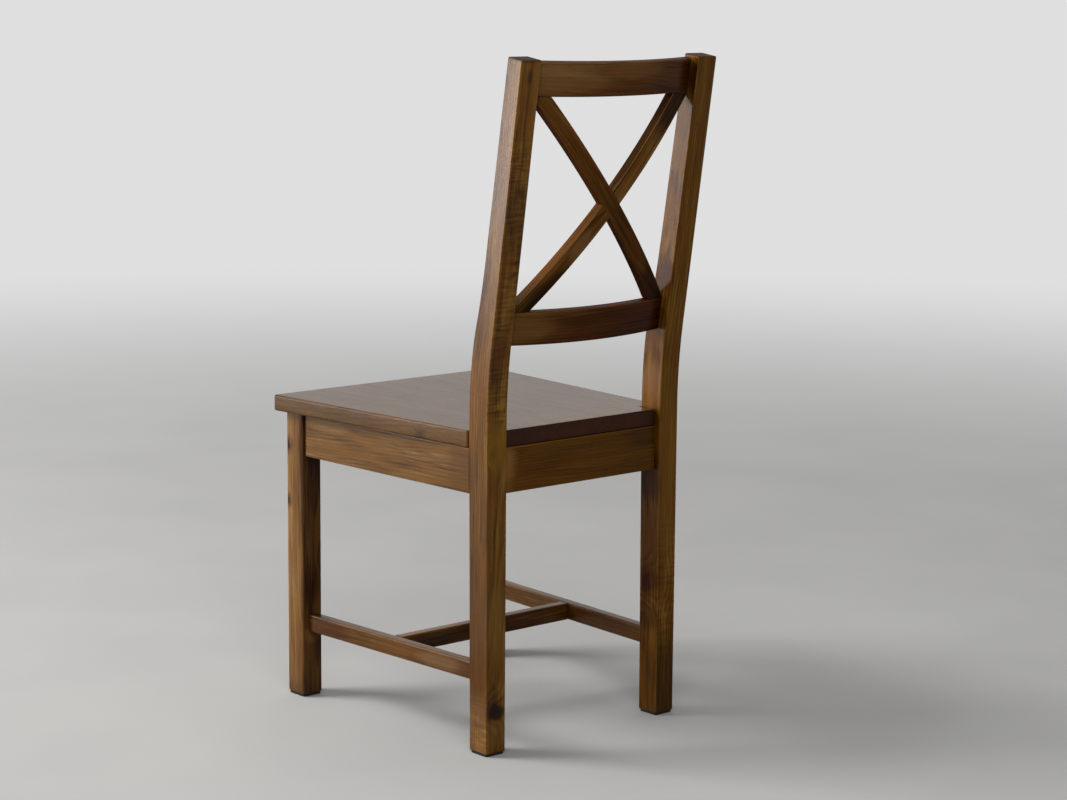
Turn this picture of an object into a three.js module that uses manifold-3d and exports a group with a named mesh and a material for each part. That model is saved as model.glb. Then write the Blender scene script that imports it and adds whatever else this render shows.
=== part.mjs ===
// Dining chair in solid wood: two raked rear posts, two front legs, four aprons, an H of stretchers,
// a seat of edge-glued boards, and a back of two bowed rails with a half-lapped, bowed X between them.
// Millimetres, +Z up. The chair faces -Y, the sitter's left hand is +X, and the origin is on the
// floor under the middle of the chair's box.
import * as THREE from 'three';
import { mergeVertices } from 'three/addons/utils/BufferGeometryUtils.js';
import Module from 'manifold-3d';

const wasm = await Module();
wasm.setup();

// ---------------------------------------------------------------- driving dimensions
const FRONT_WIDTH = 398;          // over the outer faces of the front legs
const BACK_WIDTH = 362;           // over the outer faces of the rear posts
const FRAME_DEPTH = 449;          // front face of the front legs to rear face of the rear posts
const SEAT_HEIGHT = 460;          // top of the seat
const POST_HEIGHT = 976;          // front top edge of the rear posts

const LEG_WIDTH = 35;             // front legs, across
const LEG_DEPTH = 39;             // front legs, front to back
const POST_WIDTH = 35;            // rear posts, across
const POST_DEPTH = 41;            // rear posts at the seat, front to back
const POST_FOOT_TAPER = 4;        // the rear posts thin towards the floor by this, on the front face
const EDGE_EASE = 2.5;            // rounding of the arrises of legs, posts and seat
const BOARD_EASE = 2;             // rounding of the arrises of aprons, rails and stretchers
const GAP = 0.3;                  // clearance between pieces that touch
const EDGE_STEPS = 2;             // facets round an eased arris
const CORNER_STEPS = 2;           // facets round a board's corner
const BEND_STEPS = 7;             // facets of each sweep in a rear post
const BOW_STEPS = 18;             // facets along a bowed rail or brace

const REAR_BEND_HEIGHT = 525;     // where the straight rear faces of leg and stile would meet
const REAR_BEND_HALF = 63;        // half the height of the bend on the rear face
const RAKE = THREE.MathUtils.degToRad(8.5);
const FRONT_BEND_START = 471;     // the front face starts to sweep back here
const FRONT_SWEEP_CORNER = 556;
const FRONT_SWEEP_END = 615;
const FRONT_SWEEP = THREE.MathUtils.degToRad(15);
const FRONT_RAKE_CORNER = 652;
const FRONT_RAKE_START = 712;
const FRONT_RAKE = THREE.MathUtils.degToRad(9.3);

const SEAT_THICKNESS = 24;
const SEAT_FRONT_WIDTH = 430;
const SEAT_FRONT_OVERHANG = 12;   // beyond the front legs
const SEAT_SIDE_OVERHANG = 1.5;   // beyond the rear posts' outer faces, at the posts
const SEAT_REAR_SETBACK = 10;     // the seat's rear edge lies this far inside the posts' rear faces
const SEAT_CORNER_RADIUS = 5;
const SEAT_POST_GAP = 1.2;        // the notches leave a shadow line round the posts
const SEAT_BOARDS = ['left_outer', 'left_inner', 'centre', 'right_inner', 'right_outer'];

const APRON_HEIGHT = 65;
const APRON_THICKNESS = 20;
const APRON_FRONT_SETBACK = 5;    // aprons behind the front legs' outer faces
const APRON_POST_SETBACK = 1;     // side aprons inside the posts' outer faces
const APRON_TENON_HEIGHT = 45;
const TENON_THICKNESS = 8;
const TENON_LENGTH = 15;

const STRETCHER_HEIGHT = 26;
const STRETCHER_THICKNESS = 17;
const STRETCHER_CENTRE_HEIGHT = 114.5;
const STRETCHER_SETBACK = 10;     // outer face inside the legs' outer faces
const STRETCHER_TENON_HEIGHT = 16;
const CROSS_TENON_LENGTH = 8;

const RAIL_HEIGHT = 47.5;
const RAIL_THICKNESS = 15;
const RAIL_BOW = 17;              // rearward bow of both rails
const RAIL_SETBACK = 14.5;        // rail ends' rear faces in front of the posts' rear faces
const RAIL_TENON_HEIGHT = 32;
const CREST_DROP = 5;             // top of the crest rail under the top of the posts
const LOWER_RAIL_RISE = 52;       // underside of the lower rail above the bend, along the stile

const BRACE_WIDTH = 24.5;
const BRACE_THICKNESS = 15;
const BRACE_BOW = 22;
const BRACE_TOP_CLEARANCE = 0.5;  // side of a brace to the post's inner face, at the crest rail
const BRACE_EASE = 1.2;
const BRACE_TENON_LENGTH = 8;
const BRACE_TENON_WIDTH = 13;
const BRACE_TENON_THICKNESS = 6;
const LAP_GAP = 0.15;             // each side of the half lap

const BLOCK_HEIGHT = 30;
const BLOCK_REACH = 50;           // how far a corner block runs along each apron, from the leg
const BLOCK_BLUNT = 9;            // thickness of its cut-off ends
const SCREW_RADIUS = 2;
const SCREW_HEAD_RADIUS = 4;
const SCREW_HEAD_THICKNESS = 2.5;
const SCREW_CLAMP = 12;           // wood under the screw's head
const SCREW_BITE = 14;            // length in the second piece
const SCREW_FACETS = 8;
const SCREW_INSET = 30;           // screws from the leg, along each apron
const SEAT_SCREW_INSET = 9;

const PAD_THICKNESS = 3;
const PAD_INSET = 1.5;

// ---------------------------------------------------------------- places that follow from them
const legFront = -FRAME_DEPTH / 2;
const legRear = legFront + LEG_DEPTH;
const legOuter = FRONT_WIDTH / 2;
const legInner = legOuter - LEG_WIDTH;
const postRear = FRAME_DEPTH / 2;
const postFront = postRear - POST_DEPTH;
const postOuter = BACK_WIDTH / 2;
const postInner = postOuter - POST_WIDTH;
const seatUnder = SEAT_HEIGHT - SEAT_THICKNESS;
const seatFront = legFront - SEAT_FRONT_OVERHANG;
const seatRear = postRear - SEAT_REAR_SETBACK;
const apronTop = seatUnder - GAP;
const apronBottom = apronTop - APRON_HEIGHT;
const apronMiddle = (apronTop + apronBottom) / 2;
const footHeight = PAD_THICKNESS + GAP;
const HIDDEN = 1;                 // overlap of the solids joined into one piece
const WELD = 1e-4;                // vertices closer than this are one

// y of a post's front face at a height below the bend
const postFrontAt = z => postFront + POST_FOOT_TAPER * Math.max(0, 1 - z / seatUnder);

// ---------------------------------------------------------------- shaping helpers
// Outline through [x, y, radius] corners; a radius of 0 leaves a corner sharp.
function outline(corners) {
  const shape = new THREE.Shape();
  corners.forEach(([x, y, radius = 0], i) => {
    const corner = new THREE.Vector2(x, y);
    const before = new THREE.Vector2(...corners.at(i - 1)).sub(corner).setLength(radius).add(corner);
    const after = new THREE.Vector2(...corners[(i + 1) % corners.length]).sub(corner);
    after.setLength(radius).add(corner);
    if (i === 0) shape.moveTo(before.x, before.y);
    else shape.lineTo(before.x, before.y);
    if (radius > 0) shape.quadraticCurveTo(x, y, after.x, after.y);
  });
  return shape;
}

// Outline drawn in x and y, raised along +Z from `base`, its end arrises rounded by `ease`.
function prism(shape, base, height, ease = 0, curveSegments = CORNER_STEPS) {
  const rounding = { bevelSize: ease, bevelThickness: ease, bevelOffset: -ease, bevelSegments: EDGE_STEPS };
  const settings = { depth: height - 2 * ease, bevelEnabled: ease > 0, curveSegments, ...rounding };
  return new THREE.ExtrudeGeometry(shape, settings).translate(0, 0, base + ease);
}

const box = (x0, x1, y0, y1, z0, z1) =>
  new THREE.BoxGeometry(x1 - x0, y1 - y0, z1 - z0).translate((x0 + x1) / 2, (y0 + y1) / 2, (z0 + z1) / 2);

// A box grown by the clearance on every side: the mortise for a tenon of that size.
const mortise = (x0, x1, y0, y1, z0, z1) =>
  box(x0 - GAP, x1 + GAP, y0 - GAP, y1 + GAP, z0 - GAP, z1 + GAP);

// three's own geometries have seams to weld; those that come back from a boolean have none.
function welded(geometry) {
  const bare = geometry.clone();
  bare.deleteAttribute('normal');
  bare.deleteAttribute('uv');
  return mergeVertices(bare, WELD);
}

function toSolid(geometry) {
  const closed = geometry.hasAttribute('uv') ? welded(geometry) : geometry;
  return new wasm.Manifold(new wasm.Mesh({
    numProp: 3,
    vertProperties: new Float32Array(closed.attributes.position.array),
    triVerts: new Uint32Array(closed.index.array),
  }));
}

function toGeometry(solid) {
  const mesh = solid.getMesh();
  const geometry = new THREE.BufferGeometry();
  geometry.setAttribute('position', new THREE.BufferAttribute(mesh.vertProperties, 3));
  geometry.setIndex(new THREE.BufferAttribute(mesh.triVerts, 1));
  return geometry;
}

const join = (first, ...others) => toGeometry(others.reduce((s, g) => s.add(toSolid(g)), toSolid(first)));
const cut = (first, ...others) => toGeometry(others.reduce((s, g) => s.subtract(toSolid(g)), toSolid(first)));
const common = (first, second) => toGeometry(toSolid(first).intersect(toSolid(second)));

// The same piece for the chair's other side.
function mirrored(geometry) {
  const copy = toGeometry(toSolid(geometry)).scale(-1, 1, 1);
  const winding = copy.index.array;
  for (let i = 0; i < winding.length; i += 3) {
    [winding[i], winding[i + 1]] = [winding[i + 1], winding[i]];
  }
  return copy;
}

// ---------------------------------------------------------------- materials and groups
const finish = (color, roughness, metalness = 0) =>
  new THREE.MeshStandardMaterial({ color, roughness, metalness });
const walnutStain = finish('#6f4c33', 0.38);
const seatStain = finish('#75523a', 0.3);
const blockWood = finish('#9a7550', 0.7);
const screwSteel = finish('#b8b5ae', 0.35, 1);
const padFelt = finish('#191613', 0.9);

const part = new THREE.Group();
const chair = new THREE.Group();      // the frame's own middle
const back = new THREE.Group();       // leans with the stiles: x across, y out of their rear faces, z along
part.add(chair);
chair.add(back);
back.position.set(0, postRear, REAR_BEND_HEIGHT);
back.rotation.x = -RAKE;
back.updateMatrix();

function add(parent, name, geometry, material) {
  geometry.computeVertexNormals();
  const mesh = new THREE.Mesh(geometry, material);
  mesh.name = name;
  parent.add(mesh);
}

function addPair(name, geometry, material) {
  add(chair, `left_${name}`, geometry, material);
  add(chair, `right_${name}`, mirrored(geometry), material);
}

// ---------------------------------------------------------------- joints between the sticks
// Each tenon's box, shared by the piece that carries it and the piece that it enters.
const apronZ = [apronMiddle - APRON_TENON_HEIGHT / 2, apronMiddle + APRON_TENON_HEIGHT / 2];
const stretcherZ = [
  STRETCHER_CENTRE_HEIGHT - STRETCHER_TENON_HEIGHT / 2,
  STRETCHER_CENTRE_HEIGHT + STRETCHER_TENON_HEIGHT / 2,
];
const postFrontLow = postFrontAt(STRETCHER_CENTRE_HEIGHT);
const postFrontApron = postFrontAt(apronMiddle);
const frontApronRear = legFront + APRON_FRONT_SETBACK + APRON_THICKNESS;
const rearApronFront = seatRear - APRON_THICKNESS;
const middle = (centre, size) => [centre - size / 2, centre + size / 2];

const frontApronTenon = [
  legInner - HIDDEN - GAP, legInner + TENON_LENGTH,
  ...middle(frontApronRear - APRON_THICKNESS / 2, TENON_THICKNESS), ...apronZ,
];
const rearApronTenon = [
  postInner - HIDDEN - GAP, postInner + TENON_LENGTH,
  ...middle(rearApronFront + APRON_THICKNESS / 2, TENON_THICKNESS), ...apronZ,
];
const sideApronFrontTenon = [
  ...middle(legOuter - APRON_FRONT_SETBACK - APRON_THICKNESS / 2, TENON_THICKNESS),
  legRear - TENON_LENGTH, legRear + HIDDEN + GAP, ...apronZ,
];
const sideApronRearTenon = [
  ...middle(postOuter - APRON_POST_SETBACK - APRON_THICKNESS / 2, TENON_THICKNESS),
  postFrontApron - HIDDEN - GAP, rearApronTenon[2] - 2 * GAP - HIDDEN, ...apronZ,
];
const stretcherFrontTenon = [
  ...middle(legOuter - STRETCHER_SETBACK - STRETCHER_THICKNESS / 2, TENON_THICKNESS),
  legRear - TENON_LENGTH, legRear + HIDDEN + GAP, ...stretcherZ,
];
const stretcherRearTenon = [
  ...middle(postOuter - STRETCHER_SETBACK - STRETCHER_THICKNESS / 2, TENON_THICKNESS),
  postFrontLow - HIDDEN - GAP, postFrontLow + TENON_LENGTH, ...stretcherZ,
];

// The rails' tenons, in the leaning frame.
const railEnd = postInner - GAP;
const railRearRadius = (railEnd ** 2 + RAIL_BOW ** 2) / (2 * RAIL_BOW);
const railCentre = RAIL_BOW - RAIL_SETBACK - railRearRadius;
const railRearAt = x => railCentre + Math.sqrt(railRearRadius ** 2 - x ** 2);
const railTenon = bottom => [
  railEnd - 2 * HIDDEN, postInner + TENON_LENGTH,
  ...middle(railRearAt(railEnd) - RAIL_THICKNESS / 2, TENON_THICKNESS),
  ...middle(bottom + RAIL_HEIGHT / 2, RAIL_TENON_HEIGHT),
];

// ---------------------------------------------------------------- rear posts
// Side outline of a post: straight leg, a soft bend above the seat, a raked and thinning stile.
const frontLine = z => postFront + Math.tan(FRONT_SWEEP) * (z - FRONT_SWEEP_CORNER);
const stileFront = z => frontLine(FRONT_RAKE_CORNER) + Math.tan(FRONT_RAKE) * (z - FRONT_RAKE_CORNER);
const stileRear = z => postRear + Math.tan(RAKE) * (z - REAR_BEND_HEIGHT);
// the top is cut square to the stile's rear face
const topDrop = (stileRear(POST_HEIGHT) - stileFront(POST_HEIGHT)) * Math.tan(RAKE) * Math.cos(RAKE) ** 2;
const topRearHeight = POST_HEIGHT - topDrop;
const postTopAlong = (topRearHeight - REAR_BEND_HEIGHT) / Math.cos(RAKE);

function postOutline() {
  const shape = new THREE.Shape();
  shape.moveTo(postFrontAt(0), footHeight);
  shape.lineTo(postRear, footHeight);
  shape.lineTo(postRear, REAR_BEND_HEIGHT - REAR_BEND_HALF);
  const rearEnd = REAR_BEND_HEIGHT + REAR_BEND_HALF;
  shape.quadraticCurveTo(postRear, REAR_BEND_HEIGHT, stileRear(rearEnd), rearEnd);
  shape.lineTo(stileRear(topRearHeight), topRearHeight);
  shape.lineTo(stileFront(POST_HEIGHT), POST_HEIGHT);
  shape.lineTo(stileFront(FRONT_RAKE_START), FRONT_RAKE_START);
  shape.quadraticCurveTo(
    frontLine(FRONT_RAKE_CORNER), FRONT_RAKE_CORNER, frontLine(FRONT_SWEEP_END), FRONT_SWEEP_END);
  shape.quadraticCurveTo(postFront, FRONT_SWEEP_CORNER, postFront, FRONT_BEND_START);
  shape.lineTo(postFront, seatUnder);
  return shape;
}

const crestBottom = postTopAlong - CREST_DROP - RAIL_HEIGHT;
const lowerTop = LOWER_RAIL_RISE + RAIL_HEIGHT;
const leaning = geometry => geometry.applyMatrix4(back.matrix);

// the outline lies in y and z, so the extrusion is turned to run across the chair
const acrossChair = new THREE.Matrix4().makeBasis(
  new THREE.Vector3(0, 1, 0), new THREE.Vector3(0, 0, 1), new THREE.Vector3(1, 0, 0));
const postBlank = prism(postOutline(), postInner, POST_WIDTH, EDGE_EASE, BEND_STEPS)
  .applyMatrix4(acrossChair);
const rearPost = cut(
  postBlank,
  mortise(...rearApronTenon),
  mortise(...sideApronRearTenon),
  mortise(...stretcherRearTenon),
  leaning(mortise(...railTenon(LOWER_RAIL_RISE))),
  leaning(mortise(...railTenon(crestBottom))),
);
addPair('rear_post', rearPost, walnutStain);

// ---------------------------------------------------------------- front legs
const legRound = EDGE_EASE + 0.5;
const legOutline = outline([
  [legInner, legFront, legRound], [legOuter, legFront, legRound],
  [legOuter, legRear, legRound], [legInner, legRear, legRound],
]);
const frontLeg = cut(
  prism(legOutline, footHeight, apronTop - footHeight, EDGE_EASE),
  mortise(...frontApronTenon),
  mortise(...sideApronFrontTenon),
  mortise(...stretcherFrontTenon),
);
addPair('front_leg', frontLeg, walnutStain);

// ---------------------------------------------------------------- aprons
const boardRound = BOARD_EASE + 0.5;
const boardAcross = (halfLength, y0, y1) => outline([
  [-halfLength, y0, boardRound], [halfLength, y0, boardRound],
  [halfLength, y1, boardRound], [-halfLength, y1, boardRound],
]);

// A board along the chair's side: its ends lie square to the legs, its length follows their taper.
const boardAlong = (xFront, xRear, yFront, yRear, thickness) => outline([
  [xFront - thickness, yFront, boardRound], [xFront, yFront, boardRound],
  [xRear, yRear, boardRound], [xRear - thickness, yRear, boardRound],
]);

const oppositeTenon = ([x0, x1, ...rest]) => [-x1, -x0, ...rest];

// Holes for the corner blocks' screws: [x, y, dx, dy] at the wood's face, with the screw's direction.
const screwHeight = apronTop - BLOCK_HEIGHT / 2;
const screwGeometry = length => new THREE.LatheGeometry([
  new THREE.Vector2(0, -SCREW_HEAD_THICKNESS),
  new THREE.Vector2(SCREW_HEAD_RADIUS, -SCREW_HEAD_THICKNESS),
  new THREE.Vector2(SCREW_HEAD_RADIUS, 0),
  new THREE.Vector2(SCREW_RADIUS, 0),
  new THREE.Vector2(SCREW_RADIUS, length - 2 * SCREW_RADIUS),
  new THREE.Vector2(0, length),
], SCREW_FACETS);
// a straight hole with a wider mouth for the head, along the screw's own +Y
const screwHole = length => join(
  new THREE.CylinderGeometry(SCREW_RADIUS + GAP, SCREW_RADIUS + GAP, length + 2 * GAP, SCREW_FACETS)
    .translate(0, length / 2, 0),
  new THREE.CylinderGeometry(SCREW_HEAD_RADIUS + GAP, SCREW_HEAD_RADIUS + GAP, BLOCK_REACH, SCREW_FACETS)
    .translate(0, -BLOCK_REACH / 2, 0),
);

// Places a screw or its hole: its head's underside at `point`, running towards `direction`.
function aimed(geometry, point, direction) {
  const turn = new THREE.Quaternion().setFromUnitVectors(new THREE.Vector3(0, 1, 0), direction);
  return geometry.applyQuaternion(turn).translate(...point);
}

const sideApronOuter = y => THREE.MathUtils.mapLinear(
  y, legRear, postFrontApron, legOuter - APRON_FRONT_SETBACK, postOuter - APRON_POST_SETBACK);
const sideApronInner = y => sideApronOuter(y) - APRON_THICKNESS;

// The four corners, seen from the left half: where the block starts, and the faces it is screwed to.
const corners = [
  { end: 'front', into: 1, legX: legInner, legY: legRear, face: frontApronRear },
  { end: 'rear', into: -1, legX: postInner, legY: postFrontApron, face: rearApronFront },
];
const screwLength = SCREW_CLAMP + SCREW_BITE;
for (const corner of corners) {
  const { into, legX, legY, face } = corner;
  const sideY = legY + into * SCREW_INSET;
  const acrossX = legX - SCREW_INSET;
  const alongX = new THREE.Vector3(1, 0, 0);
  const alongY = new THREE.Vector3(0, -into, 0);
  const up = new THREE.Vector3(0, 0, 1);
  const seatPoint = [legX - SEAT_SCREW_INSET, legY + into * SEAT_SCREW_INSET, seatUnder - SCREW_CLAMP];
  corner.screws = {
    side: [[sideApronInner(sideY) - SCREW_CLAMP, sideY, screwHeight], alongX],
    apron: [[acrossX, face + into * SCREW_CLAMP, screwHeight], alongY],
    seat: [seatPoint, up],
  };
}
const holeFor = placement => aimed(screwHole(screwLength), ...placement);
const [frontCorner, rearCorner] = corners;

const sideApronEnds = [legRear + GAP, postFrontApron - GAP];
const sideApron = cut(
  join(
    prism(boardAlong(...sideApronEnds.map(sideApronOuter), ...sideApronEnds, APRON_THICKNESS),
      apronBottom, APRON_HEIGHT, BOARD_EASE),
    box(...sideApronFrontTenon),
    box(...sideApronRearTenon),
  ),
  holeFor(frontCorner.screws.side),
  holeFor(rearCorner.screws.side),
);
addPair('side_apron', sideApron, walnutStain);

function crossApron(halfLength, y0, tenon, hole) {
  return cut(
    join(
      prism(boardAcross(halfLength, y0, y0 + APRON_THICKNESS), apronBottom, APRON_HEIGHT, BOARD_EASE),
      box(...tenon),
      box(...oppositeTenon(tenon)),
    ),
    hole,
    mirrored(hole),
  );
}
const frontApron = crossApron(
  legInner - GAP, frontApronRear - APRON_THICKNESS, frontApronTenon, holeFor(frontCorner.screws.apron));
add(chair, 'front_apron', frontApron, walnutStain);
const rearApron = crossApron(
  postInner - GAP, rearApronFront, rearApronTenon, holeFor(rearCorner.screws.apron));
add(chair, 'rear_apron', rearApron, walnutStain);

// ---------------------------------------------------------------- corner blocks and their screws
for (const corner of corners) {
  const { into, legX, legY, face, end } = corner;
  const nearLeg = legY + into * GAP;
  const farEnd = legY + into * BLOCK_REACH;
  const onApron = face + into * GAP;
  const block = outline([
    [legX - GAP, nearLeg],
    [sideApronInner(nearLeg) - 2 * GAP, nearLeg],
    [sideApronInner(farEnd) - 2 * GAP, farEnd],
    [sideApronInner(farEnd) - BLOCK_BLUNT, farEnd],
    [legX - BLOCK_REACH, onApron + into * BLOCK_BLUNT],
    [legX - BLOCK_REACH, onApron],
    [legX - GAP, onApron],
  ]);
  const placements = Object.entries(corner.screws);
  const geometry = cut(
    prism(block, apronTop - BLOCK_HEIGHT, BLOCK_HEIGHT),
    ...placements.map(([, placement]) => holeFor(placement)),
  );
  addPair(`${end}_corner_block`, geometry, blockWood);
  for (const [kind, placement] of placements) {
    addPair(`${end}_${kind}_screw`, aimed(screwGeometry(screwLength), ...placement), screwSteel);
  }
}

// ---------------------------------------------------------------- stretchers
const stretcherBottom = STRETCHER_CENTRE_HEIGHT - STRETCHER_HEIGHT / 2;
const stretcherOuter = y => THREE.MathUtils.mapLinear(
  y, legRear, postFrontLow, legOuter - STRETCHER_SETBACK, postOuter - STRETCHER_SETBACK);
const crossCentre = (legRear + postFrontLow) / 2;
const crossEnd = stretcherOuter(crossCentre) - STRETCHER_THICKNESS - GAP;
const crossTenon = [
  crossEnd - HIDDEN, crossEnd + CROSS_TENON_LENGTH,
  ...middle(crossCentre, TENON_THICKNESS), ...stretcherZ,
];

const stretcherEnds = [legRear + GAP, postFrontLow - GAP];
const sideStretcher = cut(
  join(
    prism(boardAlong(...stretcherEnds.map(stretcherOuter), ...stretcherEnds, STRETCHER_THICKNESS),
      stretcherBottom, STRETCHER_HEIGHT, BOARD_EASE),
    box(...stretcherFrontTenon),
    box(...stretcherRearTenon),
  ),
  mortise(...crossTenon),
);
addPair('stretcher', sideStretcher, walnutStain);

const crossStretcher = join(
  prism(boardAcross(crossEnd, ...middle(crossCentre, STRETCHER_THICKNESS)),
    stretcherBottom, STRETCHER_HEIGHT, BOARD_EASE),
  box(...crossTenon),
  box(...oppositeTenon(crossTenon)),
);
add(chair, 'cross_stretcher', crossStretcher, walnutStain);

// ---------------------------------------------------------------- seat boards
// One outline for the whole seat, wider at the front and notched round the posts, sawn into boards.
const seatHalfFront = SEAT_FRONT_WIDTH / 2;
const seatHalfRear = postOuter + SEAT_SIDE_OVERHANG;
const notchFront = postFront - SEAT_POST_GAP;
const notchSide = postInner - SEAT_POST_GAP;
const seatHalf = [
  [seatHalfFront, seatFront, SEAT_CORNER_RADIUS], [seatHalfRear, notchFront, EDGE_EASE + 0.5],
  [notchSide, notchFront], [notchSide, seatRear],
];
const seatOutline = outline([
  ...seatHalf,
  ...seatHalf.map(([x, y, radius]) => [-x, y, radius]).reverse(),
]);
const seatBlank = cut(
  prism(seatOutline, seatUnder, SEAT_THICKNESS, EDGE_EASE),
  ...corners.flatMap(corner => {
    const hole = holeFor(corner.screws.seat);
    return [hole, mirrored(hole)];
  }),
);
const boardWidth = SEAT_FRONT_WIDTH / SEAT_BOARDS.length;
SEAT_BOARDS.forEach((name, i) => {
  const left = seatHalfFront - i * boardWidth;
  const trimLeft = i === 0 ? -HIDDEN : GAP / 2;
  const trimRight = i === SEAT_BOARDS.length - 1 ? -HIDDEN : GAP / 2;
  const slab = box(
    left - boardWidth + trimRight, left - trimLeft,
    seatFront - HIDDEN, seatRear + HIDDEN, seatUnder - HIDDEN, SEAT_HEIGHT + HIDDEN);
  add(chair, `seat_board_${name}`, common(seatBlank, slab), seatStain);
});

// ---------------------------------------------------------------- X of the back
// Each brace is a bowed strip. It is drawn lying along its own length, bow towards +Y, then turned
// into the diagonal of the opening between the rails.
const opening = crestBottom - lowerTop;
const spread = 2 * postInner - BRACE_TOP_CLEARANCE - GAP;
// the slope at which a strip of this width just fits from corner to corner
const braceSlope = Math.atan2(opening, spread) + Math.asin(BRACE_WIDTH / Math.hypot(spread, opening));
const braceCut = BRACE_WIDTH / Math.sin(braceSlope);
const braceTop = postInner - BRACE_TOP_CLEARANCE - braceCut / 2;
const braceFoot = postInner - GAP - braceCut / 2;
const braceLength = opening / Math.sin(braceSlope);
const braceEndRear = railRearAt((braceTop + braceFoot) / 2);
const braceRadius = ((braceLength / 2) ** 2 + BRACE_BOW ** 2) / (2 * BRACE_BOW);
const braceSpare = BRACE_WIDTH;   // extra length, trimmed off along the rails

// plan outline of a bowed strip: arcs about one centre, ends cut square across
function bowedOutline(centreY, rearRadius, thickness, halfLength) {
  const frontRadius = rearRadius - thickness;
  const rearSwing = Math.asin(halfLength / rearRadius);
  const frontSwing = Math.asin(halfLength / frontRadius);
  const shape = new THREE.Shape();
  shape.absarc(0, centreY, rearRadius, Math.PI / 2 - rearSwing, Math.PI / 2 + rearSwing, false);
  shape.absarc(0, centreY, frontRadius, Math.PI / 2 + frontSwing, Math.PI / 2 - frontSwing, true);
  return shape;
}

const braceStrip = prism(
  bowedOutline(braceEndRear + BRACE_BOW - braceRadius, braceRadius, BRACE_THICKNESS,
    braceLength / 2 + braceSpare),
  -BRACE_WIDTH / 2, BRACE_WIDTH, BRACE_EASE, BOW_STEPS);

const crossingX = (braceTop - braceFoot) / 2;
const turned = (geometry, side) => geometry
  .rotateY(-side * braceSlope)
  .translate(side * crossingX, 0, (crestBottom + lowerTop) / 2);

const betweenRails = box(-postInner, postInner, -POST_DEPTH, POST_DEPTH, lowerTop + GAP, crestBottom - GAP);
const braceMid = braceEndRear + BRACE_BOW - BRACE_THICKNESS / 2;
const crossingHeight = (crestBottom + lowerTop) / 2 - crossingX * Math.tan(braceSlope);

// the half of the crossing that is cut out of one brace to let the other through
function lapCut(side, y0, y1) {
  const halfWidth = BRACE_WIDTH / 2 + LAP_GAP;
  return box(-2 * BRACE_WIDTH, 2 * BRACE_WIDTH, y0, y1, -halfWidth, halfWidth)
    .rotateY(-side * braceSlope)
    .translate(0, 0, crossingHeight);
}

// stub tenons at a brace's two ends, upright, entering the rails' edges
const braceTenonY = middle(braceEndRear - BRACE_THICKNESS / 2, BRACE_TENON_THICKNESS);
const tenonAt = (x, z0, z1) => [...middle(x, BRACE_TENON_WIDTH), ...braceTenonY, z0, z1];
const braceTenons = side => [
  tenonAt(side * braceTop, crestBottom - GAP - HIDDEN, crestBottom + BRACE_TENON_LENGTH),
  tenonAt(-side * braceFoot, lowerTop - BRACE_TENON_LENGTH, lowerTop + GAP + HIDDEN),
];

function brace(side, lap) {
  const strip = common(turned(braceStrip.clone(), side), betweenRails);
  return join(cut(strip, lap), ...braceTenons(side).map(tenon => box(...tenon)));
}
// the brace that falls from the left post lies whole at the rear, the other whole at the front
add(back, 'left_brace', brace(1, lapCut(-1, -POST_DEPTH, braceMid + LAP_GAP)), walnutStain);
add(back, 'right_brace', brace(-1, lapCut(1, braceMid - LAP_GAP, POST_DEPTH)), walnutStain);

// ---------------------------------------------------------------- rails of the back
const railPlan = bowedOutline(railCentre, railRearRadius, RAIL_THICKNESS, railEnd);
const braceMortises = [1, -1].flatMap(side => braceTenons(side).map(tenon => mortise(...tenon)));

function rail(bottom) {
  const tenon = railTenon(bottom);
  return cut(
    join(
      prism(railPlan, bottom, RAIL_HEIGHT, BOARD_EASE, BOW_STEPS),
      box(...tenon),
      box(...oppositeTenon(tenon)),
    ),
    ...braceMortises,
  );
}
add(back, 'crest_rail', rail(crestBottom), walnutStain);
add(back, 'lower_back_rail', rail(LOWER_RAIL_RISE), walnutStain);

// ---------------------------------------------------------------- foot pads
function footPad(x0, x1, y0, y1) {
  const pad = outline([
    [x0 + PAD_INSET, y0 + PAD_INSET, EDGE_EASE], [x1 - PAD_INSET, y0 + PAD_INSET, EDGE_EASE],
    [x1 - PAD_INSET, y1 - PAD_INSET, EDGE_EASE], [x0 + PAD_INSET, y1 - PAD_INSET, EDGE_EASE],
  ]);
  return prism(pad, 0, PAD_THICKNESS);
}
addPair('front_foot_pad', footPad(legInner, legOuter, legFront, legRear), padFelt);
addPair('rear_foot_pad', footPad(postInner, postOuter, postFrontAt(0), postRear), padFelt);

// ---------------------------------------------------------------- origin under the middle of the box
chair.position.y = -new THREE.Box3().setFromObject(chair).getCenter(new THREE.Vector3()).y;

export default part;
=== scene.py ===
"""Dining chair in stained pine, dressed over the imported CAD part.

Metres, +Z up. The chair faces -Y, +X is the sitter's left, and the floor is z = 0.
"""
import math

import bmesh
import bpy
from mathutils import Matrix, Vector


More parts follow.
